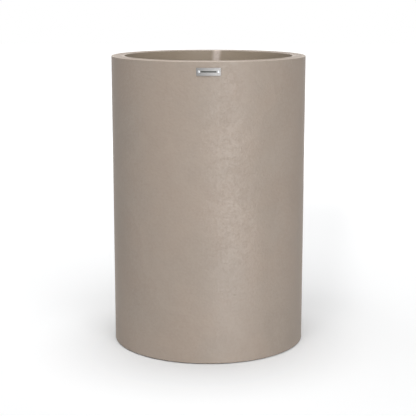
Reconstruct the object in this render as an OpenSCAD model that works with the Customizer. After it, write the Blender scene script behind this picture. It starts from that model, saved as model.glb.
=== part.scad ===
// Tall round planter in glass-reinforced plastic, with a flat returned rim,
// a raised floor bonded in from below, a drain with its plug and a small nameplate.
// Millimetres. The origin is on the ground under the middle, +Z up, nameplate at -Y.

/* [Shell] */
// Outside diameter of the straight wall
outer_diameter = 500; // [400:5:800]
// Height from the ground to the top of the rim
height = 750; // [400:5:1200]
// Thickness of the laminate of the wall, rim and return
wall = 4; // [3:0.5:6]
// Radius of the outer bottom edge
foot_edge = 2; // [1:0.5:5]

/* [Rim] */
// Width of the flat rim, from the outside to the mouth
rim_width = 34; // [26:1:70]
// Depth of the return that hangs from the mouth's edge
return_depth = 60; // [30:1:120]
// Radius of the rim's outer edge
rim_edge = 1.5; // [1:0.5:4]
// Radius of the mouth's edge
mouth_edge = 1.5; // [1:0.5:4]
// Radius of the coves inside the channel under the rim
channel_cove = 6; // [2:0.5:6]

/* [Floor] */
// Height of the floor above the foot, at the wall
floor_height = 42; // [38:1:150]
// Fall of the floor from the wall to the drain
floor_fall = 6; // [2:0.5:8]
// Thickness of the floor laminate
pan_wall = 5; // [4:0.5:6]
// Outer radius of the floor's edge where it turns down to the skirt
pan_corner = 12; // [8:1:14]
// Glue line between the floor's skirt and the shell
glue_gap = 1; // [0.5:0.1:2]
// Height that the glue line stays above the foot
glue_setback = 2; // [0:0.5:5]
// Radius to which the glue is tooled in the corner over the floor
cove_radius = 16; // [12:1:20]
// How far that cove is pressed into the corner, which gives it clean edges
cove_bite = 1.5; // [1:0.1:2]

/* [Floor stiffener] */
// Thickness of the plywood ring under the floor
core_thickness = 12; // [9:1:15]
// Bed of paste over the ring at its inner edge
bed_thickness = 1.5; // [1:0.5:3]
// Thickness of the laminate that seals the ring
skin_wall = 2.5; // [2:0.5:3]
// Width of the tab that ties this laminate to the floor
skin_tab = 22; // [10:1:40]

/* [Drain] */
// Diameter of the drain hole
drain_diameter = 25; // [16:1:32]
// Diameter of the thick boss round the drain hole
boss_diameter = 64; // [60:1:100]
// Thickness of the boss from the floor down
boss_depth = 13; // [11:0.5:16]
// Diameter of the seat sunk in the boss for the plug's head
seat_diameter = 46; // [44:1:54]
// Depth of this seat, which is also the thickness of the plug's head
seat_depth = 5; // [3:0.5:6]
// Clearance round the plug's head in the seat
head_clearance = 2; // [1:0.5:3]
// Clearance round the top of the plug's stem in the hole
stem_clearance = 0.3; // [0.2:0.1:0.6]
// Draft of the stem on each side, from the seat to its tip
stem_draft = 1.5; // [0.5:0.1:3]
// Length of the stem that stands out under the boss
stem_out = 5; // [2:0.5:7]
// Diameter of the grip on the plug
grip_diameter = 19; // [14:1:24]
// Height of the grip above the floor at the drain
grip_height = 11; // [8:0.5:16]

/* [Nameplate] */
// Width of the plate
plate_width = 59; // [40:1:100]
// Height of the plate
plate_height = 19; // [12:1:40]
// Thickness of the plate
plate_thickness = 1.5; // [0.8:0.1:2]
// Film of sealant between the plate and the wall
plate_gap = 0.1; // [0.1:0.1:0.5]
// Radius of the plate's corners
plate_corner = 1; // [0.5:0.5:4]
// Distance from the rim down to the middle of the plate
plate_drop = 24.5; // [24:0.5:200]
// Distance between the two rivets
rivet_pitch = 46; // [30:1:85]
// Diameter of the rivet's shank
rivet_diameter = 3.2; // [2.4:0.1:4]
// Clearance of the rivet's holes, on the diameter
rivet_clearance = 0.2; // [0.1:0.1:0.4]
// Diameter of the rivet's domed head
rivet_head = 6; // [5:0.1:8]
// Height of the rivet's head
rivet_rise = 1.2; // [0.8:0.1:1.6]
// Diameter of the backing washer inside the wall
washer_diameter = 10; // [8:0.5:14]
// Thickness of the backing washer
washer_thickness = 1; // [0.8:0.1:1.5]
// Film of sealant that the washer's edges press against the wall
washer_clearance = 0.3; // [0.1:0.1:0.5]

/* [Foot pads] */
// Number of rubber pads under the foot ring
pad_count = 6; // [3:1:8]
// Length of a pad along the ring
pad_length = 50; // [20:1:70]
// Width of a pad
pad_width = 6; // [4:0.5:6]
// Thickness of a pad, which lifts the foot ring off the ground
pad_thickness = 1.5; // [1:0.1:4]

/* [Hidden] */
$fn = 128;
PADS = [for (i = [1 : pad_count]) str("foot_pad_", i)];

// Extra length of a cutter past the face that it cuts
over = 1;
outer_r = outer_diameter / 2;
bore_r = outer_r - wall;
mouth_r = outer_r - rim_width;
foot_z = pad_thickness;

pan_r = bore_r - glue_gap;
land_r = pan_r - pan_corner;
floor_z = foot_z + floor_height;
drain_z = floor_z - floor_fall;
drain_r = drain_diameter / 2;
boss_r = boss_diameter / 2;
seat_r = seat_diameter / 2;
seat_z = drain_z - seat_depth;

core_in = boss_r + skin_wall;
core_out = land_r - skin_tab;
core_top = dish_z(core_in) - pan_wall - bed_thickness;
core_low = core_top - core_thickness;

head_r = seat_r - head_clearance;
head_edge = seat_depth / 3;
stem_r = drain_r - stem_clearance;
stem_z = drain_z - boss_depth - stem_out;
grip_r = grip_diameter / 2;
grip_edge = grip_height / 4;

plate_z = height - plate_drop;
// Distance from the wall's outside to the front of the plate
plate_face = plate_gap + plate_thickness;
rivet_r = rivet_diameter / 2;
rivet_hole = rivet_diameter + rivet_clearance;
washer_r = washer_diameter / 2;
// A flat washer stands on its edges against the hollow of the wall
washer_sag = bore_r - sqrt(bore_r ^ 2 - washer_r ^ 2);
// Distance from the wall's outside to the back of the washer, which is the rivet's grip there
washer_back = wall + washer_sag + washer_clearance + washer_thickness;

pad_r = outer_r - max(foot_edge, wall + glue_gap + pan_wall - pad_width);

// Height of the dished floor's top at a radius
function dish_z(r) = drain_z + floor_fall * (r - drain_r) / (land_r - drain_r);

// The angle that a length takes up round the outside of the wall
function wall_angle(length) = length / outer_r * 180 / PI;

// What a quarter round leaves of its square, with the sharp corner placed at x, y:
// taken away it rounds an edge, and added it makes a cove
module corner(x, y, turn, r) {
    translate([x, y]) rotate(turn) difference() {
        square(r);
        translate([r, r]) circle(r);
    }
}

// Wall, flat rim and return as one laminate, with the open channel between them
module shell_section() {
    difference() {
        union() {
            translate([bore_r, foot_z]) square([wall, height - foot_z]);
            translate([mouth_r, height - wall]) square([rim_width, wall]);
            translate([mouth_r, height - return_depth + wall / 2]) square([wall, return_depth - wall / 2]);
            translate([mouth_r + wall / 2, height - return_depth + wall / 2]) circle(wall / 2);
            corner(mouth_r + wall, height - wall, 270, channel_cove);
            corner(bore_r, height - wall, 180, channel_cove);
        }
        corner(outer_r, height, 180, rim_edge);
        corner(mouth_r, height, 270, mouth_edge);
        corner(outer_r, foot_z, 90, foot_edge);
    }
}

// The floor's outline down to a base height, taken in by an inset on every side
module pan_outline(inset, base) {
    translate([0, base]) square([pan_r - inset, floor_z - pan_corner - base]);
    translate([land_r, floor_z - pan_corner]) circle(pan_corner - inset);
    polygon([
        [0, base],
        [land_r, base],
        [land_r, floor_z - inset],
        [drain_r, drain_z - inset],
        [0, drain_z - inset]
    ]);
}

// Dished floor with its bonding skirt, drain boss and seat
module pan_section() {
    difference() {
        union() {
            difference() {
                pan_outline(0, foot_z);
                pan_outline(pan_wall, foot_z - over);
            }
            translate([0, drain_z - boss_depth]) square([boss_r, boss_depth - pan_wall / 2]);
        }
        translate([0, seat_z]) square([seat_r, seat_depth + floor_fall]);
        square([drain_r, floor_z]);
    }
}

// Glue that fills the gap round the skirt and the groove over the floor's rounded edge
module bond_section() {
    base = foot_z + glue_setback;
    difference() {
        translate([bore_r - cove_radius, base]) square([cove_radius, floor_z + cove_radius - base]);
        translate([bore_r - cove_radius + cove_bite, floor_z + cove_radius - cove_bite])
            circle(cove_radius);
        pan_outline(0, foot_z);
    }
}

// Laminate that wraps the plywood ring and ties it to the underside of the floor
module skin_section() {
    edge_r = core_out + skin_wall;
    difference() {
        union() {
            translate([boss_r, core_low - skin_wall]) square([edge_r - boss_r, skin_wall]);
            skin_strip(boss_r, core_in, core_low - skin_wall);
            skin_strip(core_out, edge_r, core_low - skin_wall);
            polygon([
                [core_out, dish_z(core_out) - pan_wall - skin_wall],
                [land_r, floor_z - pan_wall - skin_wall],
                [land_r, floor_z - pan_wall],
                [core_out, dish_z(core_out) - pan_wall]
            ]);
        }
        corner(edge_r, core_low - skin_wall, 90, skin_wall);
    }
}

// Strip between two radii, from a height up to the underside of the floor
module skin_strip(r_in, r_out, base) {
    polygon([
        [r_in, base],
        [r_out, base],
        [r_out, dish_z(r_out) - pan_wall],
        [r_in, dish_z(r_in) - pan_wall]
    ]);
}

// Head, tapered stem and grip of the plug
module plug_section() {
    difference() {
        translate([0, seat_z]) square([head_r, seat_depth]);
        corner(head_r, drain_z, 180, head_edge);
    }
    polygon([
        [0, stem_z],
        [stem_r - stem_draft, stem_z],
        [stem_r, seat_z],
        [stem_r, seat_z + over],
        [0, seat_z + over]
    ]);
    translate([0, drain_z - over]) square([grip_r / 2, grip_height - grip_edge + over]);
    translate([0, drain_z + grip_height - 2 * grip_edge]) square([grip_r - grip_edge, 2 * grip_edge]);
    translate([grip_r - grip_edge, drain_z + grip_height - grip_edge]) circle(grip_edge);
}

// Domed head, whose edge is square to the plate for a third of its rise
module rivet_head_section() {
    side = rivet_rise / 3;
    dome = rivet_rise - side;
    dome_r = ((rivet_head / 2) ^ 2 + dome ^ 2) / (2 * dome);
    intersection() {
        translate([0, rivet_rise - dome_r]) circle(dome_r);
        square([rivet_head / 2, rivet_rise]);
    }
}

// Puts its children at each rivet, z = 0 on the wall's outside and +Z pointing out
module at_rivets() {
    for (side = [-1, 1])
        rotate([0, 0, side * wall_angle(rivet_pitch / 2)])
            translate([0, -outer_r, plate_z])
                rotate([90, 0, 0])
                    children();
}

module rivet_holes() {
    at_rivets() translate([0, 0, -2 * wall])
        cylinder(d = rivet_hole, h = 2 * wall + plate_face + over);
}

module shell() {
    color("#b0a294") difference() {
        rotate_extrude() shell_section();
        rivet_holes();
    }
}

module floor_pan() {
    color("#a59a8d") rotate_extrude() pan_section();
}

module floor_bond() {
    color("#9c9184") rotate_extrude() bond_section();
}

module floor_core() {
    color("#b98f5e") rotate_extrude()
        translate([core_in, core_low]) square([core_out - core_in, core_thickness]);
}

module core_bed() {
    color("#8f867a") rotate_extrude() skin_strip(core_in, core_out, core_top);
}

module core_skin() {
    color("#a3a08a") rotate_extrude() skin_section();
}

module drain_plug() {
    color("#26262a") rotate_extrude() plug_section();
}

// Sheet bent to the wall, with rounded corners
module nameplate() {
    color("#c2c4c6") difference() {
        intersection() {
            translate([0, 0, plate_z]) difference() {
                cylinder(r = outer_r + plate_face, h = plate_height + over, center = true);
                cylinder(r = outer_r + plate_gap, h = plate_height + 2 * over, center = true);
            }
            translate([0, 0, plate_z]) rotate([90, 0, 0])
                linear_extrude(outer_r + plate_face + over) plate_outline();
        }
        rivet_holes();
    }
}

module plate_outline() {
    w = plate_width / 2;
    h = plate_height / 2;
    difference() {
        square([plate_width, plate_height], center = true);
        corner(-w, -h, 0, plate_corner);
        corner(w, -h, 90, plate_corner);
        corner(w, h, 180, plate_corner);
        corner(-w, h, 270, plate_corner);
    }
}

// Blind rivets: head outside, shank through plate, wall and washer, and the set end inside
module plate_rivets() {
    set_length = 1.2 * rivet_diameter;
    mandrel = rivet_diameter / 2;
    color("#d4d5d6") at_rivets() difference() {
        union() {
            translate([0, 0, plate_face]) rotate_extrude() rivet_head_section();
            translate([0, 0, -washer_back - set_length / 2])
                cylinder(r = rivet_r, h = washer_back + set_length / 2 + plate_face + rivet_rise / 3);
            translate([0, 0, -washer_back - set_length]) cylinder(d = 1.5 * rivet_diameter, h = set_length);
        }
        translate([0, 0, plate_face + rivet_rise / 3]) cylinder(d = mandrel, h = rivet_rise);
    }
}

module rivet_washers() {
    color("#b8babc") at_rivets() translate([0, 0, -washer_back]) difference() {
        cylinder(r = washer_r, h = washer_thickness);
        translate([0, 0, -over]) cylinder(d = rivet_hole, h = washer_thickness + 2 * over);
    }
}

// One of the strips under the foot ring, counted from +X
module foot_pad(i) {
    angle = wall_angle(pad_length);
    color("#1f1f21") rotate([0, 0, (i - 1) * 360 / pad_count - angle / 2])
        rotate_extrude(angle = angle, start = 0)
            translate([pad_r - pad_width, 0]) square([pad_width, pad_thickness]);
}

shell();
floor_pan();
floor_bond();
floor_core();
core_bed();
core_skin();
drain_plug();
nameplate();
plate_rivets();
rivet_washers();
for (i = [1 : pad_count]) {
    foot_pad(i);
}
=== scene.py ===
import math

import bmesh
import bpy
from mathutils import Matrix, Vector


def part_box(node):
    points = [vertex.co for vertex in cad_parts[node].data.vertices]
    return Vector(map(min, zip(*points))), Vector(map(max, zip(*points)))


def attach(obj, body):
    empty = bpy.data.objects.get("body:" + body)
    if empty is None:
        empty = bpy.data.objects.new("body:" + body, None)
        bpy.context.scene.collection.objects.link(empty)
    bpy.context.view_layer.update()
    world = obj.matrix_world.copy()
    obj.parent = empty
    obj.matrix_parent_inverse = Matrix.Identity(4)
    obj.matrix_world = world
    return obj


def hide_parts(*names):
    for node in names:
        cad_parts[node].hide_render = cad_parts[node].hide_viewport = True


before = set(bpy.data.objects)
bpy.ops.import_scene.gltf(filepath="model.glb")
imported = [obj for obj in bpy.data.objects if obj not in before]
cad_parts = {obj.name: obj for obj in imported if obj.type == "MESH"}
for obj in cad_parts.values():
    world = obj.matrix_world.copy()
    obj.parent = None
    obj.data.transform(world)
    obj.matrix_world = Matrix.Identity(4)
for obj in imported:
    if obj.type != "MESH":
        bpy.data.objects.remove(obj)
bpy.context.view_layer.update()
print("frame loaded:", len(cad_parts), "nodes")

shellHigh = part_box("shell")[1]
planter = {
    "radius": shellHigh.x,
    "top": shellHigh.z,
    "wall": 0.004,         # thickness of the laminate
    "rim": 0.034,          # width of the flat rim
}


def srgb(code):
    # "#rrggbb" to linear RGBA
    steps = [int(code[i:i + 2], 16) / 255 for i in (1, 3, 5)]
    return [c / 12.92 if c <= 0.04045 else ((c + 0.055) / 1.055) ** 2.4 for c in steps] + [1.0]


def addNode(tree, kind, settings=None, values=None, links=None):
    made = tree.nodes.new(kind)
    for name, value in (settings or {}).items():
        setattr(made, name, value)
    for name, value in (values or {}).items():
        made.inputs[name].default_value = value
    for name, source in (links or {}).items():
        tree.links.new(source, made.inputs[name])
    return made


def newMaterial(name):
    material = bpy.data.materials.new(name)
    material.use_nodes = True
    material.node_tree.nodes.clear()
    return material, material.node_tree


def dress(nodeName, material):
    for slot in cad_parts[nodeName].material_slots:
        slot.material = material


camera = {
    "location": (-0.0013, -2.9655, 0.9298),
    "pitch": 78.897,       # degrees up from straight down
    "lens": 98.8,          # millimetres, in front of a sensor this many wide
    "sensor": 36,
}


def makeCamera():
    data = bpy.data.cameras.new("camera")
    data.lens = camera["lens"]
    data.sensor_width = camera["sensor"]
    made = bpy.data.objects.new("camera", data)
    made.location = camera["location"]
    made.rotation_euler = (math.radians(camera["pitch"]), 0, 0)
    bpy.context.scene.collection.objects.link(made)
    bpy.context.scene.camera = made
    bpy.context.scene.view_settings.view_transform = "Standard"


# Soft boxes round the planter, each aimed at a point on its axis. The strip adds nothing but sheen:
# it stands close by and low, right of the front, so that the lower wall mirrors it.
lamps = {
    "frontRight": {"at": (1.25, -3.97, 0.82), "aim": (0, 0, 0.35), "size": (2.8, 1.6), "watts": 54},
    "topFront": {"at": (0.0, -1.82, 4.08), "aim": (0, 0, 0.30), "size": (2.8, 2.8), "watts": 112},
    "topLeft": {"at": (-1.68, 0.28, 4.08), "aim": (0, 0, 0.30), "size": (2.8, 2.8), "watts": 25},
    "lowBack": {"at": (0.0, 3.4, 0.37), "aim": (0, 0, 0.37), "size": (3.4, 0.7), "watts": 15},
    "strip": {"at": (0.56, -0.90, 0.195), "aim": (0, 0, 0.195), "size": (0.85, 0.37), "watts": 3.0,
              "onlySheen": True},
}


def makeLamps():
    for name, lamp in lamps.items():
        data = bpy.data.lights.new(name, "AREA")
        data.shape = "RECTANGLE"
        data.size, data.size_y = lamp["size"]
        data.energy = lamp["watts"]
        made = bpy.data.objects.new(name, data)
        made.location = lamp["at"]
        towards = Vector(lamp["aim"]) - Vector(lamp["at"])
        made.rotation_euler = towards.to_track_quat("-Z", "Y").to_euler()
        made.visible_camera = False
        made.visible_diffuse = not lamp.get("onlySheen")
        bpy.context.scene.collection.objects.link(made)


room = {
    "ambient": 0.195,      # strength of the white room as it lights the planter
    "floor": "#e5e6e7",
    "floorSize": 30.0,
    "sunk": 0.0002,        # floor below the pads' soles, so that these don't flicker through it
    "lift": 0.29,          # added to the floor where the camera or a reflection looks straight at it,
    "liftBack": 0.12,      # with this much more for each metre towards the back, away from the lamps,
    "liftFront": -0.6,     # counted from here,
    "liftReach": 4,        # for so many metres,
    "liftFar": 0.7,        # and this much more far away, so that the floor runs out into white,
    "farSpan": (1.6, 6.0),       # coming in between these distances
    "shade": 0.35,         # taken from it in front of the foot,
    "shadeFrom": (-0.025, -0.10, 0),
    "shadeSpan": (0.46, 0.13),   # coming in between these distances from that point,
    "shadeCurve": 1.5,     # slowly at first
    "cast": 0.085,         # and taken from it right of the planter and behind, as a window's shadow is,
    "castSpan": (0.44, 0.28),    # with a soft edge between these distances right of the middle,
    "castSpread": 0.137,   # this much further out for each metre towards the back,
    "castRight": (0, 0.2),       # and coming in from the middle to the right
    "castBehind": (-0.05, 0.3),  # and from front to back
}


def seenDirectly(tree):
    # 1 where the camera, a mirror reflection or a see-through ray looks at the surface
    path = addNode(tree, "ShaderNodeLightPath")
    either = addNode(tree, "ShaderNodeMath", {"operation": "MAXIMUM"},
                     links={0: path.outputs["Is Camera Ray"], 1: path.outputs["Is Glossy Ray"]})
    return addNode(tree, "ShaderNodeMath", {"operation": "MAXIMUM"},
                   links={0: either.outputs[0], 1: path.outputs["Is Transmission Ray"]}).outputs[0]


def makeWorld():
    world = bpy.data.worlds.new("room")
    bpy.context.scene.world = world
    world.use_nodes = True
    tree = world.node_tree
    tree.nodes.clear()
    strength = addNode(tree, "ShaderNodeMapRange", values={"To Min": room["ambient"], "To Max": 1.0},
                       links={"Value": seenDirectly(tree)})
    light = addNode(tree, "ShaderNodeBackground", values={"Color": (1, 1, 1, 1)},
                    links={"Strength": strength.outputs[0]})
    addNode(tree, "ShaderNodeOutputWorld", links={"Surface": light.outputs[0]})


def floorLift(tree):
    # how much paler the paper looks than the lamps make it, place by place
    place = addNode(tree, "ShaderNodeTexCoord").outputs["Object"]
    parts = addNode(tree, "ShaderNodeSeparateXYZ", links={0: place})
    reach = room["liftReach"]
    back = addNode(tree, "ShaderNodeMapRange",
                   values={"From Min": room["liftFront"], "From Max": room["liftFront"] + reach,
                           "To Min": room["lift"], "To Max": room["lift"] + reach * room["liftBack"]},
                   links={"Value": parts.outputs["Y"]})
    off = addNode(tree, "ShaderNodeVectorMath", {"operation": "LENGTH"}, links={0: place})
    far = addNode(tree, "ShaderNodeMapRange", {"interpolation_type": "SMOOTHSTEP"},
                  {"From Min": room["farSpan"][0], "From Max": room["farSpan"][1],
                   "To Max": room["liftFar"]}, {"Value": off.outputs["Value"]})
    even = addNode(tree, "ShaderNodeMath", {"operation": "ADD"},
                   links={0: back.outputs[0], 1: far.outputs[0]})

    # soft shade in front of the foot
    away = addNode(tree, "ShaderNodeVectorMath", {"operation": "DISTANCE"}, {1: room["shadeFrom"]},
                   {0: place})
    near = addNode(tree, "ShaderNodeMapRange",
                   values={"From Min": room["shadeSpan"][0], "From Max": room["shadeSpan"][1]},
                   links={"Value": away.outputs["Value"]})
    fading = addNode(tree, "ShaderNodeMath", {"operation": "POWER"}, {1: room["shadeCurve"]},
                     {0: near.outputs[0]})
    foot = addNode(tree, "ShaderNodeMath", {"operation": "MULTIPLY_ADD"}, {1: -room["shade"]},
                   {0: fading.outputs[0], 2: even.outputs[0]})

    # cast shade at the right and behind
    spread = addNode(tree, "ShaderNodeMath", {"operation": "MULTIPLY_ADD"}, {1: -room["castSpread"]},
                     {0: parts.outputs["Y"], 2: parts.outputs["X"]})
    edge = addNode(tree, "ShaderNodeMapRange", {"interpolation_type": "SMOOTHSTEP"},
                   {"From Min": room["castSpan"][0], "From Max": room["castSpan"][1],
                    "To Max": -room["cast"]}, {"Value": spread.outputs[0]})
    onRight = addNode(tree, "ShaderNodeMapRange",
                      values={"From Min": room["castRight"][0], "From Max": room["castRight"][1]},
                      links={"Value": parts.outputs["X"]})
    behind = addNode(tree, "ShaderNodeMapRange",
                     values={"From Min": room["castBehind"][0], "From Max": room["castBehind"][1]},
                     links={"Value": parts.outputs["Y"]})
    there = addNode(tree, "ShaderNodeMath", {"operation": "MULTIPLY"},
                    links={0: onRight.outputs[0], 1: behind.outputs[0]})
    return addNode(tree, "ShaderNodeMath", {"operation": "MULTIPLY_ADD", "use_clamp": True},
                   links={0: edge.outputs[0], 1: there.outputs[0], 2: foot.outputs[0]}).outputs[0]


def makeFloor():
    material, tree = newMaterial("paperFloor")
    shown = addNode(tree, "ShaderNodeMath", {"operation": "MULTIPLY"},
                    links={0: floorLift(tree), 1: seenDirectly(tree)})
    paper = addNode(tree, "ShaderNodeBsdfDiffuse", values={"Color": srgb(room["floor"])})
    glow = addNode(tree, "ShaderNodeEmission", links={"Strength": shown.outputs[0]})
    both = addNode(tree, "ShaderNodeAddShader", links={0: paper.outputs[0], 1: glow.outputs[0]})
    addNode(tree, "ShaderNodeOutputMaterial", links={"Surface": both.outputs[0]})

    bm = bmesh.new()
    bmesh.ops.create_grid(bm, x_segments=1, y_segments=1, size=room["floorSize"] / 2)
    bmesh.ops.translate(bm, verts=bm.verts, vec=(0, 0, -room["sunk"]))
    mesh = bpy.data.meshes.new("floor")
    bm.to_mesh(mesh)
    bm.free()
    mesh.materials.append(material)
    floor = bpy.data.objects.new("floor", mesh)
    bpy.context.scene.collection.objects.link(floor)


makeCamera()
makeLamps()
makeWorld()
makeFloor()
print("camera, lamps and room made")


def unroll(tree, place):
    # a round wall laid out flat: X runs round it from the nameplate, Y goes up, the join is at the back
    parts = addNode(tree, "ShaderNodeSeparateXYZ", links={0: place})
    front = addNode(tree, "ShaderNodeMath", {"operation": "MULTIPLY"}, {1: -1.0},
                    {0: parts.outputs["Y"]})
    turn = addNode(tree, "ShaderNodeMath", {"operation": "ARCTAN2"},
                   links={0: parts.outputs["X"], 1: front.outputs[0]})
    along = addNode(tree, "ShaderNodeMath", {"operation": "MULTIPLY"}, {1: planter["radius"]},
                    {0: turn.outputs[0]})
    return addNode(tree, "ShaderNodeCombineXYZ",
                   links={"X": along.outputs[0], "Y": parts.outputs["Z"]}).outputs[0]


def axisDistance(tree, place):
    level = addNode(tree, "ShaderNodeVectorMath", {"operation": "MULTIPLY"}, {1: (1, 1, 0)}, {0: place})
    return addNode(tree, "ShaderNodeVectorMath", {"operation": "LENGTH"},
                   links={0: level.outputs[0]}).outputs["Value"]


# Chopped strand mat under its resin: bundles of glass lie every way, each a low soft ridge.
# The real bundles are about 1 mm wide, drawn wider so that they show.
strand = {
    "lengthMm": 42,
    "widthMm": 2.6,
    "turns": (14, 73, 131),
    "driftMm": 70,         # bundles bend over this distance,
    "bendMm": 45,          # by up to half of this
    "ridge": (0.50, 0.72),       # part of the noise that makes a ridge
}


def strandRelief(tree, flat):
    drift = addNode(tree, "ShaderNodeTexNoise", values={"Scale": 1000 / strand["driftMm"]},
                    links={"Vector": flat})
    centred = addNode(tree, "ShaderNodeVectorMath", {"operation": "SUBTRACT"}, {1: (0.5, 0.5, 0.5)},
                      {0: drift.outputs["Color"]})
    bent = addNode(tree, "ShaderNodeVectorMath", {"operation": "MULTIPLY_ADD"},
                   {1: [strand["bendMm"] / 1000] * 3}, {0: centred.outputs[0], 2: flat})
    size = (strand["lengthMm"] / 1000, strand["widthMm"] / 1000, strand["widthMm"] / 1000)
    laid = None
    for turn in strand["turns"]:
        across = addNode(tree, "ShaderNodeMapping", {"vector_type": "TEXTURE"},
                         {"Rotation": (0, 0, math.radians(turn)), "Scale": size},
                         {"Vector": bent.outputs[0]})
        bundle = addNode(tree, "ShaderNodeTexNoise", values={"Scale": 1.0, "Detail": 2.0},
                         links={"Vector": across.outputs[0]}).outputs["Fac"]
        if laid is None:
            laid = bundle
        else:
            laid = addNode(tree, "ShaderNodeMath", {"operation": "MAXIMUM"},
                           links={0: laid, 1: bundle}).outputs[0]
    return addNode(tree, "ShaderNodeMapRange",
                   values={"From Min": strand["ridge"][0], "From Max": strand["ridge"][1]},
                   links={"Value": laid}).outputs[0]


# Satin two-pack paint, sprayed over a stippled filler coat so that the laminate looks like honed stone:
# a tan ground with faint mauve-grey clouds, and a fine leathery grain that shows in the highlight.
# The fibre side of the wall is brushed over in a duller tone, and the strands still show there.
stone = {
    "tan": "#a8998c",
    "mauve": "#a6998d",
    "cloudMm": 150,
    "cloudSpan": (0.38, 0.62),   # part of the noise over which the one runs into the other
    "pale": "#b0a294",      # blotches, by this share at most
    "paleShare": 0.2,
    "blotchMm": 22,
    "blotchSpan": (0.45, 0.75),
    "glossMm": 6.5,         # across one glossy or dull speck
    "glossSpan": (0.38, 0.62),
    "gloss": (0.33, 0.66),  # roughness from the glossiest speck to the dullest
    "speck": 0.007,         # how much darker the dull specks are
    "sweepMm": 350,         # across one sweep of the cloth, how far it strays, and one of its bands
    "wanderMm": 220,
    "wipeMm": 45,
    "wipeSpan": (0.35, 0.65),
    "wipe": 0.25,           # what a band adds to the specks or takes from them,
    "streak": 0.07,         # and the share of it that shows in the colour
    "edgeOn": 0.82,         # roughness where the wall is seen edge-on
    "edgeOnSpan": (0.3, 0.7),
    "rimDull": 0.55,        # share of that on the rim
    "turned": 0.90,         # how far polishing round the mould draws the highlight out upwards
    # painted shade in the pinholes
    "pinholeShade": "#95877a",
    "pitMm": 16,            # across the cells that may hold a pinhole,
    "pitFree": 0.8,         # the share of them that doesn't,
    "pitSpan": (0.10, 0.05),     # and a pinhole's edge and floor, as shares of its cell
    "pitShare": 0.4,
    "grainMm": 8,
    "cellMm": 7,
    "cellHeight": 0.7,      # of the rounded cells, against the grain's
    "leatherDepth": 0.0009,
    "inside": "#978b7e",
    "pooled": "#897d70",
    "strand": "#b3a799",
    "strandShare": 0.45,
    # painted light on the return, lifting the shade inside the mouth
    "returnPaintedLight": "#b5a592",     # on the return
    "paleStrip": "#eedfd4",      # pale strip painted down the return, right of the back
    "paleStripAt": 0.0222,       # its place right of the back, half its width, and how ragged it is
    "paleStripHalf": 0.0160,
    "paleStripRagged": 0.012,
    "paleStripPatchMm": 11,
    "paleStripPatchSpan": (0.35, 0.65),
    "paleStripPatch": (0.8, 1.45),    # the least and the most that its patches make of it
    # painted highlight: the rim's edges are painted paler where they catch the light
    "rimHighlightTone": "#e6dacd",  # on the rim's edges,
    "rimHighlightShare": 0.38,           # by this share at most,
    "rimHighlightDown": 0.0023,     # reaching so far down the wall and in across the rim
    "rimHighlightIn": 0.014,
}


def clothSweeps(tree, place, strayed):
    # arcs of a polishing cloth: bands round the middles of large soft cells
    wander = addNode(tree, "ShaderNodeVectorMath", {"operation": "MULTIPLY_ADD"},
                     {1: [stone["wanderMm"] / 1000] * 3}, {0: strayed, 2: place})
    swept = addNode(tree, "ShaderNodeTexVoronoi", {"feature": "SMOOTH_F1"},
                    {"Scale": 1000 / stone["sweepMm"], "Smoothness": 0.6},
                    {"Vector": wander.outputs[0]})
    wiped = addNode(tree, "ShaderNodeTexNoise", {"noise_dimensions": "1D"},
                    {"Scale": stone["sweepMm"] / stone["wipeMm"], "Detail": 3.0},
                    {"W": swept.outputs["Distance"]})
    return addNode(tree, "ShaderNodeMapRange",
                   values={"From Min": stone["wipeSpan"][0], "From Max": stone["wipeSpan"][1],
                           "To Min": -stone["wipe"], "To Max": stone["wipe"]},
                   links={"Value": wiped.outputs["Fac"]}).outputs[0]


def stonePinholes(tree, place):
    # pinholes in the filler, in one cell out of five
    pits = addNode(tree, "ShaderNodeTexVoronoi", values={"Scale": 1000 / stone["pitMm"]},
                   links={"Vector": place})
    pitted = addNode(tree, "ShaderNodeMapRange",
                     values={"From Min": stone["pitSpan"][0], "From Max": stone["pitSpan"][1],
                             "To Max": stone["pitShare"]},
                     links={"Value": pits.outputs["Distance"]})
    chosen = addNode(tree, "ShaderNodeMath", {"operation": "GREATER_THAN"}, {1: stone["pitFree"]},
                     {0: pits.outputs["Color"]})
    return addNode(tree, "ShaderNodeMath", {"operation": "MULTIPLY"},
                   links={0: pitted.outputs[0], 1: chosen.outputs[0]}).outputs[0]


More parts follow.
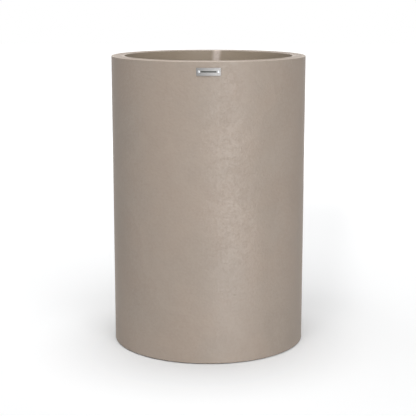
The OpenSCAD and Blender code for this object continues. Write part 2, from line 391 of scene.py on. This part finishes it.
def returnPaleStrip(tree, place, onReturn, uneven):
    # share of the pale strip, which runs down the return right of the back
    parts = addNode(tree, "ShaderNodeSeparateXYZ", links={0: place})
    beside = addNode(tree, "ShaderNodeMath", {"operation": "SUBTRACT"}, {1: stone["paleStripAt"]},
                     {0: parts.outputs["X"]})
    off = addNode(tree, "ShaderNodeMath", {"operation": "ABSOLUTE"}, links={0: beside.outputs[0]})
    ragged = addNode(tree, "ShaderNodeMath", {"operation": "MULTIPLY_ADD"},
                     {1: stone["paleStripRagged"], 2: -stone["paleStripRagged"] / 2}, {0: uneven})
    edge = addNode(tree, "ShaderNodeMath", {"operation": "ADD"},
                   links={0: off.outputs[0], 1: ragged.outputs[0]})
    strip = addNode(tree, "ShaderNodeMapRange", {"interpolation_type": "SMOOTHSTEP"},
                    {"From Min": stone["paleStripHalf"], "From Max": 0.0}, {"Value": edge.outputs[0]})
    atBack = addNode(tree, "ShaderNodeMath", {"operation": "GREATER_THAN"}, {1: 0.0},
                     {0: parts.outputs["Y"]})
    there = addNode(tree, "ShaderNodeMath", {"operation": "MULTIPLY"},
                    links={0: onReturn, 1: atBack.outputs[0]})
    patches = addNode(tree, "ShaderNodeTexNoise", values={"Scale": 1000 / stone["paleStripPatchMm"]},
                      links={"Vector": place})
    patchy = addNode(tree, "ShaderNodeMapRange",
                     values={"From Min": stone["paleStripPatchSpan"][0],
                             "From Max": stone["paleStripPatchSpan"][1],
                             "To Min": stone["paleStripPatch"][0], "To Max": stone["paleStripPatch"][1]},
                     links={"Value": patches.outputs["Fac"]})
    patchedStrip = addNode(tree, "ShaderNodeMath", {"operation": "MULTIPLY"},
                     links={0: strip.outputs[0], 1: patchy.outputs[0]})
    return addNode(tree, "ShaderNodeMath", {"operation": "MULTIPLY", "use_clamp": True},
                   links={0: patchedStrip.outputs[0], 1: there.outputs[0]}).outputs[0]


def rimHighlight(tree, up, radius):
    # share of painted highlight on the rim's two edges, paler where they catch the light
    top = addNode(tree, "ShaderNodeMapRange", {"interpolation_type": "SMOOTHSTEP"},
                  {"From Min": planter["top"] - stone["rimHighlightDown"], "From Max": planter["top"]},
                  {"Value": up})
    fromMiddle = addNode(tree, "ShaderNodeMath", {"operation": "SUBTRACT"},
                         {1: planter["radius"] - planter["rim"] / 2}, {0: radius})
    toEdge = addNode(tree, "ShaderNodeMath", {"operation": "ABSOLUTE"},
                     links={0: fromMiddle.outputs[0]})
    atEdge = addNode(tree, "ShaderNodeMapRange", {"interpolation_type": "SMOOTHSTEP"},
                     {"From Min": planter["rim"] / 2 - stone["rimHighlightIn"], "From Max": planter["rim"] / 2,
                      "To Max": stone["rimHighlightShare"]}, {"Value": toEdge.outputs[0]})
    return addNode(tree, "ShaderNodeMath", {"operation": "MULTIPLY"},
                   links={0: top.outputs[0], 1: atEdge.outputs[0]}).outputs[0]


def leatherHeight(tree, place, pinholes):
    # rounded cells with a finer grain on them, and the pinholes sunk in
    grain = addNode(tree, "ShaderNodeTexNoise",
                    values={"Scale": 1000 / stone["grainMm"], "Detail": 6.0, "Roughness": 0.7},
                    links={"Vector": place})
    cells = addNode(tree, "ShaderNodeTexVoronoi", {"feature": "SMOOTH_F1"},
                    {"Scale": 1000 / stone["cellMm"], "Smoothness": 0.5}, {"Vector": place})
    leather = addNode(tree, "ShaderNodeMath", {"operation": "MULTIPLY_ADD"},
                      {1: stone["cellHeight"]}, {0: cells.outputs["Distance"], 2: grain.outputs["Fac"]})
    return addNode(tree, "ShaderNodeMath", {"operation": "SUBTRACT"},
                   links={0: leather.outputs[0], 1: pinholes}).outputs[0]


def stoneSheen(tree, uneven, underRim):
    # dull where it is seen edge-on, but less so on the rim, which hands keep smooth
    gloss = addNode(tree, "ShaderNodeMapRange",
                    values={"To Min": stone["gloss"][0], "To Max": stone["gloss"][1]},
                    links={"Value": uneven})
    facing = addNode(tree, "ShaderNodeLayerWeight")
    edgeOn = addNode(tree, "ShaderNodeMapRange",
                     values={"From Min": stone["edgeOnSpan"][0], "From Max": stone["edgeOnSpan"][1]},
                     links={"Value": facing.outputs["Facing"]})
    handled = addNode(tree, "ShaderNodeMapRange", values={"To Min": stone["rimDull"]},
                      links={"Value": underRim})
    dulled = addNode(tree, "ShaderNodeMath", {"operation": "MULTIPLY"},
                     links={0: edgeOn.outputs[0], 1: handled.outputs[0]})
    return addNode(tree, "ShaderNodeMix", values={3: stone["edgeOn"]},
                   links={0: dulled.outputs[0], 2: gloss.outputs[0]}).outputs[0]


def stoneFinish():
    material, tree = newMaterial("stippledStonePaint")
    place = addNode(tree, "ShaderNodeTexCoord").outputs["Object"]
    up = addNode(tree, "ShaderNodeSeparateXYZ", links={0: place}).outputs["Z"]
    radius = axisDistance(tree, place)

    clouds = addNode(tree, "ShaderNodeTexNoise",
                     values={"Scale": 1000 / stone["cloudMm"], "Detail": 3.0, "Roughness": 0.55},
                     links={"Vector": place})
    cloudy = addNode(tree, "ShaderNodeMapRange",
                     values={"From Min": stone["cloudSpan"][0], "From Max": stone["cloudSpan"][1]},
                     links={"Value": clouds.outputs["Fac"]})
    ground = addNode(tree, "ShaderNodeMix", {"data_type": "RGBA"},
                     {6: srgb(stone["tan"]), 7: srgb(stone["mauve"])}, {0: cloudy.outputs[0]})
    blotch = addNode(tree, "ShaderNodeTexNoise",
                     values={"Scale": 1000 / stone["blotchMm"], "Detail": 5.0, "Roughness": 0.6},
                     links={"Vector": place})
    blotchy = addNode(tree, "ShaderNodeMapRange",
                      values={"From Min": stone["blotchSpan"][0], "From Max": stone["blotchSpan"][1],
                              "To Max": stone["paleShare"]},
                      links={"Value": blotch.outputs["Fac"]})
    pale = addNode(tree, "ShaderNodeMix", {"data_type": "RGBA"}, {7: srgb(stone["pale"])},
                   {0: blotchy.outputs[0], 6: ground.outputs[2]})

    # dull and glossy specks, the dull ones a shade darker, and streaks from the cloth
    specks = addNode(tree, "ShaderNodeTexNoise",
                     values={"Scale": 1000 / stone["glossMm"], "Detail": 2.0, "Roughness": 0.6},
                     links={"Vector": place})
    dull = addNode(tree, "ShaderNodeMapRange",
                   values={"From Min": stone["glossSpan"][0], "From Max": stone["glossSpan"][1]},
                   links={"Value": specks.outputs["Fac"]})
    wipes = clothSweeps(tree, place, clouds.outputs["Color"])
    uneven = addNode(tree, "ShaderNodeMath", {"operation": "ADD"}, links={0: dull.outputs[0], 1: wipes})
    shade = addNode(tree, "ShaderNodeMapRange",
                    values={"To Min": 1 + stone["speck"], "To Max": 1 - stone["speck"]},
                    links={"Value": dull.outputs[0]})
    streaked = addNode(tree, "ShaderNodeMath", {"operation": "MULTIPLY_ADD"}, {1: -stone["streak"]},
                       {0: wipes, 2: shade.outputs[0]})
    specked = addNode(tree, "ShaderNodeVectorMath", {"operation": "SCALE"},
                      links={0: pale.outputs[2], "Scale": streaked.outputs[0]})
    pinholes = stonePinholes(tree, place)
    # the pinholes are painted darker: painted shade in the pits
    coat = addNode(tree, "ShaderNodeMix", {"data_type": "RGBA"}, {7: srgb(stone["pinholeShade"])},
                   {0: pinholes, 6: specked.outputs[0]})

    # fibre side: between the return and the wall, and all the way down inside
    fibreIn = planter["radius"] - planter["rim"] + planter["wall"] / 2
    fibreOut = planter["radius"] - planter["wall"] / 2
    behindReturn = addNode(tree, "ShaderNodeMath", {"operation": "COMPARE"},
                           {1: (fibreIn + fibreOut) / 2, 2: (fibreOut - fibreIn) / 2}, {0: radius})
    underRim = addNode(tree, "ShaderNodeMath", {"operation": "LESS_THAN"},
                       {1: planter["top"] - planter["wall"] / 2}, {0: up})
    fibreSide = addNode(tree, "ShaderNodeMath", {"operation": "MULTIPLY"},
                        links={0: behindReturn.outputs[0], 1: underRim.outputs[0]})
    ridges = strandRelief(tree, unroll(tree, place))
    pooled = addNode(tree, "ShaderNodeMix", {"data_type": "RGBA"},
                     {6: srgb(stone["inside"]), 7: srgb(stone["pooled"])}, {0: cloudy.outputs[0]})
    showing = addNode(tree, "ShaderNodeMath", {"operation": "MULTIPLY"}, {1: stone["strandShare"]},
                      {0: ridges})
    strands = addNode(tree, "ShaderNodeMix", {"data_type": "RGBA"}, {7: srgb(stone["strand"])},
                      {0: showing.outputs[0], 6: pooled.outputs[2]})
    brushed = addNode(tree, "ShaderNodeMix", {"data_type": "RGBA"},
                      links={0: fibreSide.outputs[0], 6: coat.outputs[2], 7: strands.outputs[2]})

    # the return is painted paler: painted light that lifts the shade inside the mouth
    onReturn = addNode(tree, "ShaderNodeMath", {"operation": "LESS_THAN"}, {1: fibreIn}, {0: radius})
    insideMouth = addNode(tree, "ShaderNodeMath", {"operation": "MULTIPLY"},
                          links={0: onReturn.outputs[0], 1: underRim.outputs[0]})
    returnPaintedLight = addNode(tree, "ShaderNodeMix", {"data_type": "RGBA"}, {7: srgb(stone["returnPaintedLight"])},
                    {0: insideMouth.outputs[0], 6: brushed.outputs[2]})
    # a pale strip painted down the return right of the back
    paleStrip = returnPaleStrip(tree, place, onReturn.outputs[0], blotch.outputs["Fac"])
    withPaleStrip = addNode(tree, "ShaderNodeMix", {"data_type": "RGBA"}, {7: srgb(stone["paleStrip"])},
                        {0: paleStrip, 6: returnPaintedLight.outputs[2]})
    # painted highlight along the rim's edges
    edged = addNode(tree, "ShaderNodeMix", {"data_type": "RGBA"}, {7: srgb(stone["rimHighlightTone"])},
                    {0: rimHighlight(tree, up, radius), 6: withPaleStrip.outputs[2]})

    # leathery relief on the paint, strands on the fibre side
    height = addNode(tree, "ShaderNodeMix", links={0: fibreSide.outputs[0], 3: showing.outputs[0],
                                                   2: leatherHeight(tree, place, pinholes)})
    relief = addNode(tree, "ShaderNodeBump", values={"Strength": 0.5, "Distance": stone["leatherDepth"]},
                     links={"Height": height.outputs[0]})
    sheen = stoneSheen(tree, uneven.outputs[0], underRim.outputs[0])
    paint = addNode(tree, "ShaderNodeBsdfPrincipled",
                    values={"IOR": 1.5, "Anisotropic": stone["turned"], "Anisotropic Rotation": 0.25},
                    links={"Base Color": edged.outputs[2], "Roughness": sheen,
                           "Normal": relief.outputs[0]})
    addNode(tree, "ShaderNodeOutputMaterial", links={"Surface": paint.outputs[0]})
    return material


# Polyester laminate laid by hand and finished with a brushed flow coat: strands show as low ridges,
# resin has pooled between them and looks darker and glossier there.
laminate = {
    "coat": "#a0958a",
    "pooled": "#877c6e",
    "strand": "#aea498",
    "strandShare": 0.55,
    "strandDepth": 0.0005,
    "patchMm": 60,
    "patchSpan": (0.42, 0.66),   # part of the noise over which resin pools
    "gloss": (0.5, 0.28),   # roughness of the dry coat and of the pooled resin
}


def laminateFinish():
    material, tree = newMaterial("flowCoatedLaminate")
    place = addNode(tree, "ShaderNodeTexCoord").outputs["Object"]
    ridges = strandRelief(tree, place)
    patches = addNode(tree, "ShaderNodeTexNoise",
                      values={"Scale": 1000 / laminate["patchMm"], "Detail": 3.0},
                      links={"Vector": place})
    pooled = addNode(tree, "ShaderNodeMapRange",
                     values={"From Min": laminate["patchSpan"][0], "From Max": laminate["patchSpan"][1]},
                     links={"Value": patches.outputs["Fac"]})
    coat = addNode(tree, "ShaderNodeMix", {"data_type": "RGBA"},
                   {6: srgb(laminate["coat"]), 7: srgb(laminate["pooled"])}, {0: pooled.outputs[0]})
    shown = addNode(tree, "ShaderNodeMath", {"operation": "MULTIPLY"}, {1: laminate["strandShare"]},
                    {0: ridges})
    colour = addNode(tree, "ShaderNodeMix", {"data_type": "RGBA"}, {7: srgb(laminate["strand"])},
                     {0: shown.outputs[0], 6: coat.outputs[2]})
    gloss = addNode(tree, "ShaderNodeMapRange",
                    values={"To Min": laminate["gloss"][0], "To Max": laminate["gloss"][1]},
                    links={"Value": pooled.outputs[0]})
    relief = addNode(tree, "ShaderNodeBump",
                     values={"Strength": 0.5, "Distance": laminate["strandDepth"]},
                     links={"Height": ridges})
    resin = addNode(tree, "ShaderNodeBsdfPrincipled", values={"IOR": 1.55},
                    links={"Base Color": colour.outputs[2], "Roughness": gloss.outputs[0],
                           "Normal": relief.outputs[0]})
    addNode(tree, "ShaderNodeOutputMaterial", links={"Surface": resin.outputs[0]})
    return material


# Filled polyester paste, pressed into the corner with a round tool and left matt: drag marks run along
# the joint, with a pinhole here and there.
paste = {
    "body": "#9d9285",
    "smear": "#aaa093",
    "dragMm": 90,
    "markMm": 1.8,
    "markDepth": 0.0004,
    "pinMm": 11,            # across the cells that hold a pinhole each,
    "pinSpan": (0.10, 0.05),     # and a pinhole's edge and floor, as shares of its cell
}


def pasteFinish():
    material, tree = newMaterial("tooledPolyesterPaste")
    place = addNode(tree, "ShaderNodeTexCoord").outputs["Object"]
    parts = addNode(tree, "ShaderNodeSeparateXYZ", links={0: unroll(tree, place)})
    section = addNode(tree, "ShaderNodeCombineXYZ",
                      links={"X": parts.outputs["X"], "Y": parts.outputs["Y"],
                             "Z": axisDistance(tree, place)})
    size = (paste["dragMm"] / 1000, paste["markMm"] / 1000, paste["markMm"] / 1000)
    drag = addNode(tree, "ShaderNodeMapping", {"vector_type": "TEXTURE"}, {"Scale": size},
                   {"Vector": section.outputs[0]})
    marks = addNode(tree, "ShaderNodeTexNoise", values={"Scale": 1.0, "Detail": 3.0},
                    links={"Vector": drag.outputs[0]})
    pins = addNode(tree, "ShaderNodeTexVoronoi", values={"Scale": 1000 / paste["pinMm"]},
                   links={"Vector": place})
    pinned = addNode(tree, "ShaderNodeMapRange",
                     values={"From Min": paste["pinSpan"][0], "From Max": paste["pinSpan"][1]},
                     links={"Value": pins.outputs["Distance"]})
    colour = addNode(tree, "ShaderNodeMix", {"data_type": "RGBA"},
                     {6: srgb(paste["body"]), 7: srgb(paste["smear"])}, {0: marks.outputs["Fac"]})
    height = addNode(tree, "ShaderNodeMath", {"operation": "SUBTRACT"},
                     links={0: marks.outputs["Fac"], 1: pinned.outputs[0]})
    relief = addNode(tree, "ShaderNodeBump", values={"Strength": 0.5, "Distance": paste["markDepth"]},
                     links={"Height": height.outputs[0]})
    filler = addNode(tree, "ShaderNodeBsdfPrincipled", values={"IOR": 1.5, "Roughness": 0.62},
                     links={"Base Color": colour.outputs[2], "Normal": relief.outputs[0]})
    addNode(tree, "ShaderNodeOutputMaterial", links={"Surface": filler.outputs[0]})
    return material


# Birch plywood, sawn to a ring: nine plies, end grain and long grain in turn, so the edge is striped
# dark and light, with fine grain lines on the faces.
plywood = {
    "face": "#c19a6b",
    "line": "#a57b4e",
    "endGrain": "#94683d",
    "plies": 9,
    "lineMm": 1.6,
    "lineLengthMm": 120,
    "lineSpan": (0.4, 0.65),     # part of the noise over which a line darkens
    "lineDepth": 0.0003,
}


def plywoodFinish():
    material, tree = newMaterial("birchPlywood")
    place = addNode(tree, "ShaderNodeTexCoord").outputs["Object"]
    parts = addNode(tree, "ShaderNodeSeparateXYZ", links={0: place})
    low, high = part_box("floor_core")
    layer = addNode(tree, "ShaderNodeMapRange", {"clamp": False},
                    {"From Min": low.z, "From Max": high.z, "To Max": plywood["plies"] / 2},
                    {"Value": parts.outputs["Z"]})
    cycle = addNode(tree, "ShaderNodeMath", {"operation": "FRACT"}, links={0: layer.outputs[0]})
    cross = addNode(tree, "ShaderNodeMath", {"operation": "GREATER_THAN"}, {1: 0.5},
                    {0: cycle.outputs[0]})
    length = plywood["lineLengthMm"] / 1000
    along = addNode(tree, "ShaderNodeMapping", {"vector_type": "TEXTURE"},
                    {"Scale": (length, plywood["lineMm"] / 1000, length)}, {"Vector": place})
    grain = addNode(tree, "ShaderNodeTexNoise", values={"Scale": 1.0, "Detail": 4.0},
                    links={"Vector": along.outputs[0]})
    lines = addNode(tree, "ShaderNodeMapRange",
                    values={"From Min": plywood["lineSpan"][0], "From Max": plywood["lineSpan"][1]},
                    links={"Value": grain.outputs["Fac"]})
    face = addNode(tree, "ShaderNodeMix", {"data_type": "RGBA"},
                   {6: srgb(plywood["face"]), 7: srgb(plywood["line"])}, {0: lines.outputs[0]})
    striped = addNode(tree, "ShaderNodeMix", {"data_type": "RGBA"}, {7: srgb(plywood["endGrain"])},
                      {0: cross.outputs[0], 6: face.outputs[2]})
    relief = addNode(tree, "ShaderNodeBump", values={"Strength": 0.4, "Distance": plywood["lineDepth"]},
                     links={"Height": grain.outputs["Fac"]})
    wood = addNode(tree, "ShaderNodeBsdfPrincipled", values={"IOR": 1.5, "Roughness": 0.68},
                   links={"Base Color": striped.outputs[2], "Normal": relief.outputs[0]})
    addNode(tree, "ShaderNodeOutputMaterial", links={"Surface": wood.outputs[0]})
    return material


# Black EPDM rubber. The plug is moulded and has a slight bloom, the pads are cut from sheet whose
# ground surface is rougher and holds dust.
rubber = {
    "black": "#262628",
    "bloom": "#3a3a3b",
    "dust": "#55514b",
    "hazeMm": 18,           # across one patch of bloom or dust
    "hazeSpan": (0.42, 0.70),
    "skinMm": 0.9,
    "skinDepth": 0.0002,
    "moulded": 0.45,        # roughness of the plug and of the pads,
    "cut": 0.62,
    "dulling": 0.15,        # and what bloom or dust adds to it
}


def rubberFinish(name, rimHighlightShare, roughness):
    material, tree = newMaterial(name)
    place = addNode(tree, "ShaderNodeTexCoord").outputs["Object"]
    haze = addNode(tree, "ShaderNodeTexNoise",
                   values={"Scale": 1000 / rubber["hazeMm"], "Detail": 5.0, "Roughness": 0.65},
                   links={"Vector": place})
    hazy = addNode(tree, "ShaderNodeMapRange",
                   values={"From Min": rubber["hazeSpan"][0], "From Max": rubber["hazeSpan"][1]},
                   links={"Value": haze.outputs["Fac"]})
    colour = addNode(tree, "ShaderNodeMix", {"data_type": "RGBA"},
                     {6: srgb(rubber["black"]), 7: srgb(rimHighlightShare)}, {0: hazy.outputs[0]})
    skin = addNode(tree, "ShaderNodeTexNoise",
                   values={"Scale": 1000 / rubber["skinMm"], "Detail": 2.0}, links={"Vector": place})
    relief = addNode(tree, "ShaderNodeBump", values={"Strength": 0.3, "Distance": rubber["skinDepth"]},
                     links={"Height": skin.outputs["Fac"]})
    gloss = addNode(tree, "ShaderNodeMapRange",
                    values={"To Min": roughness, "To Max": roughness + rubber["dulling"]},
                    links={"Value": hazy.outputs[0]})
    body = addNode(tree, "ShaderNodeBsdfPrincipled", values={"IOR": 1.52},
                   links={"Base Color": colour.outputs[2], "Roughness": gloss.outputs[0],
                          "Normal": relief.outputs[0]})
    addNode(tree, "ShaderNodeOutputMaterial", links={"Surface": body.outputs[0]})
    return material


# Aluminium blind rivets and washers: pressed, tumbled bright, with fine handling marks.
aluminium = {
    "metal": "#b6b8ba",
    "markMm": 0.5,
    "markDepth": 0.0001,
    "gloss": (0.18, 0.42),  # roughness from the brightest mark to the dullest
}


def aluminiumFinish():
    material, tree = newMaterial("tumbledAluminium")
    place = addNode(tree, "ShaderNodeTexCoord").outputs["Object"]
    marks = addNode(tree, "ShaderNodeTexNoise",
                    values={"Scale": 1000 / aluminium["markMm"], "Detail": 3.0},
                    links={"Vector": place})
    gloss = addNode(tree, "ShaderNodeMapRange",
                    values={"To Min": aluminium["gloss"][0], "To Max": aluminium["gloss"][1]},
                    links={"Value": marks.outputs["Fac"]})
    relief = addNode(tree, "ShaderNodeBump",
                     values={"Strength": 0.15, "Distance": aluminium["markDepth"]},
                     links={"Height": marks.outputs["Fac"]})
    metal = addNode(tree, "ShaderNodeBsdfPrincipled",
                    values={"Base Color": srgb(aluminium["metal"]), "Metallic": 1.0},
                    links={"Roughness": gloss.outputs[0], "Normal": relief.outputs[0]})
    addNode(tree, "ShaderNodeOutputMaterial", links={"Surface": metal.outputs[0]})
    return material


# Stainless sheet with a brushed finish along its length, and a shallow etched line filled in dark grey.
# The brush marks are far finer than a millimetre, drawn coarser so that they show.
steel = {
    "metal": "#7a7978",
    "strokeMm": 24,
    "markMm": 0.45,
    "markDepth": 0.0001,
    "gloss": (0.24, 0.48),
    "drawn": 0.5,           # how far the brushing draws out its reflections
    "fill": "#26261f",
    "fillMm": 0.4,          # across one speck in the fill
    "fillGloss": (0.35, 0.6),
}


def steelFinish():
    material, tree = newMaterial("brushedStainless")
    place = addNode(tree, "ShaderNodeTexCoord").outputs["Object"]
    size = (steel["strokeMm"] / 1000, steel["strokeMm"] / 1000, steel["markMm"] / 1000)
    along = addNode(tree, "ShaderNodeMapping", {"vector_type": "TEXTURE"}, {"Scale": size},
                    {"Vector": place})
    brushing = addNode(tree, "ShaderNodeTexNoise", values={"Scale": 1.0, "Detail": 4.0},
                       links={"Vector": along.outputs[0]})
    gloss = addNode(tree, "ShaderNodeMapRange",
                    values={"To Min": steel["gloss"][0], "To Max": steel["gloss"][1]},
                    links={"Value": brushing.outputs["Fac"]})
    relief = addNode(tree, "ShaderNodeBump", values={"Strength": 0.2, "Distance": steel["markDepth"]},
                     links={"Height": brushing.outputs["Fac"]})
    metal = addNode(tree, "ShaderNodeBsdfPrincipled",
                    values={"Base Color": srgb(steel["metal"]), "Metallic": 1.0,
                            "Anisotropic": steel["drawn"]},
                    links={"Roughness": gloss.outputs[0], "Normal": relief.outputs[0]})
    addNode(tree, "ShaderNodeOutputMaterial", links={"Surface": metal.outputs[0]})
    return material


def fillFinish():
    material, tree = newMaterial("etchFill")
    place = addNode(tree, "ShaderNodeTexCoord").outputs["Object"]
    speck = addNode(tree, "ShaderNodeTexNoise", values={"Scale": 1000 / steel["fillMm"]},
                    links={"Vector": place})
    gloss = addNode(tree, "ShaderNodeMapRange",
                    values={"To Min": steel["fillGloss"][0], "To Max": steel["fillGloss"][1]},
                    links={"Value": speck.outputs["Fac"]})
    enamel = addNode(tree, "ShaderNodeBsdfPrincipled",
                     values={"Base Color": srgb(steel["fill"]), "IOR": 1.5},
                     links={"Roughness": gloss.outputs[0]})
    addNode(tree, "ShaderNodeOutputMaterial", links={"Surface": enamel.outputs[0]})
    return material


dress("shell", stoneFinish())
laminated = laminateFinish()
pasted = pasteFinish()
for name in ("floor_pan", "core_skin"):
    dress(name, laminated)
for name in ("floor_bond", "core_bed"):
    dress(name, pasted)
dress("floor_core", plywoodFinish())
dress("drain_plug", rubberFinish("mouldedRubber", rubber["bloom"], rubber["moulded"]))
padded = rubberFinish("cutSheetRubber", rubber["dust"], rubber["cut"])
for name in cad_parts:
    if name.startswith("foot_pad_"):
        dress(name, padded)
tumbled = aluminiumFinish()
for name in ("plate_rivets", "rivet_washers"):
    dress(name, tumbled)
print("finishes made")


# Nameplate: stainless sheet, bent to the wall after its edges are broken and its line is etched
plate = {
    "thickness": 0.0015,
    "corner": 0.001,
    "edge": 0.0003,
    "holePitch": 0.046,
    "hole": 0.0034,
    "holeSides": 32,
    "lineLength": 0.037,
    "lineHeight": 0.0036,
    "lineDepth": 0.0002,
    "faceOn": 0.99,         # how squarely a face looks forward, from 0 to 1, to be part of the front
    "bendStep": 0.0025,     # spacing of the cuts that let the flat mesh bend
    "sharp": 15,            # degrees between two faces from which their edge stays sharp
}


def drilled(mesh):
    # the two rivet holes, cut through the flat sheet
    bm = bmesh.new()
    across = Vector((0, 0, 1)).rotation_difference(Vector((0, 1, 0))).to_matrix()
    for side in (-1, 1):
        ring = bmesh.ops.create_cone(bm, cap_ends=True, segments=plate["holeSides"],
                                     radius1=plate["hole"] / 2, radius2=plate["hole"] / 2,
                                     depth=6 * plate["thickness"])
        bmesh.ops.rotate(bm, verts=ring["verts"], matrix=across)
        bmesh.ops.translate(bm, verts=ring["verts"], vec=(side * plate["holePitch"] / 2, 0, 0))
    drillMesh = bpy.data.meshes.new("drill")
    bm.to_mesh(drillMesh)
    bm.free()
    drill = bpy.data.objects.new("drill", drillMesh)
    blank = bpy.data.objects.new("blank", mesh)
    for piece in (drill, blank):
        bpy.context.scene.collection.objects.link(piece)
    cut = blank.modifiers.new("holes", "BOOLEAN")
    cut.operation = "DIFFERENCE"
    cut.object = drill
    graph = bpy.context.evaluated_depsgraph_get()
    made = bpy.data.meshes.new_from_object(blank.evaluated_get(graph))
    for piece in (drill, blank):
        bpy.data.objects.remove(piece)
    return made


def flatSheet(halfWidth, halfHeight):
    # the front faces -Y; its corners are rounded and its front edge is broken
    bm = bmesh.new()
    bmesh.ops.create_cube(bm, size=1)
    bmesh.ops.scale(bm, verts=bm.verts, vec=(2 * halfWidth, plate["thickness"], 2 * halfHeight))
    corners = [e for e in bm.edges if abs(e.verts[0].co.y - e.verts[1].co.y) > plate["thickness"] / 2]
    bmesh.ops.bevel(bm, geom=corners, offset=plate["corner"], affect="EDGES", segments=4,
                    profile=0.5, material=-1)
    outline = [e for e in bm.edges if all(v.co.y < 0 for v in e.verts)]
    bmesh.ops.bevel(bm, geom=outline, offset=plate["edge"], affect="EDGES", segments=2,
                    profile=0.5, material=-1)
    mesh = bpy.data.meshes.new("sheet")
    bm.to_mesh(mesh)
    bm.free()
    return mesh


def etchLine(bm):
    # sinks the line into the front; its faces take the second material
    etched = []
    for one in bm.faces:
        middle = one.calc_center_median()
        inLine = abs(middle.x) < plate["lineLength"] / 2 and abs(middle.z) < plate["lineHeight"] / 2
        if -one.normal.y > plate["faceOn"] and inLine:
            etched.append(one)
    bmesh.ops.inset_region(bm, faces=etched, thickness=plate["lineDepth"], depth=-plate["lineDepth"])
    for one in etched:
        one.material_index = 1


def makeNameplate():
    low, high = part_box("nameplate")
    face = -low.y
    middleRadius = face - plate["thickness"] / 2
    halfWidth = math.asin(high.x / face) * planter["radius"]
    bm = bmesh.new()
    bm.from_mesh(drilled(flatSheet(halfWidth, (high.z - low.z) / 2)))

    # cuts at the four sides of the line, and upright ones for the bend
    cuts = [((side * plate["lineLength"] / 2, 0, 0), (1, 0, 0)) for side in (-1, 1)]
    cuts += [((0, 0, side * plate["lineHeight"] / 2), (0, 0, 1)) for side in (-1, 1)]
    steps = int(halfWidth / plate["bendStep"])
    cuts += [((i * plate["bendStep"], 0, 0), (1, 0, 0)) for i in range(-steps, steps + 1)]
    for point, normal in cuts:
        bmesh.ops.bisect_plane(bm, geom=bm.verts[:] + bm.edges[:] + bm.faces[:], dist=1e-6,
                               plane_co=point, plane_no=normal)
    bm.normal_update()
    etchLine(bm)

    for vert in bm.verts:
        turn = vert.co.x / planter["radius"]
        reach = middleRadius - vert.co.y
        height = vert.co.z + (low.z + high.z) / 2
        vert.co = (reach * math.sin(turn), -reach * math.cos(turn), height)
    bmesh.ops.recalc_face_normals(bm, faces=bm.faces)
    mesh = bpy.data.meshes.new("nameplate_sheet")
    bm.to_mesh(mesh)
    bm.free()
    mesh.polygons.foreach_set("use_smooth", [True] * len(mesh.polygons))
    mesh.set_sharp_from_angle(angle=math.radians(plate["sharp"]))
    mesh.materials.append(steelFinish())
    mesh.materials.append(fillFinish())

    made = bpy.data.objects.new("nameplate_sheet", mesh)
    bpy.context.scene.collection.objects.link(made)
    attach(made, "planter")
    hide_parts("nameplate")


makeNameplate()
print("nameplate made")
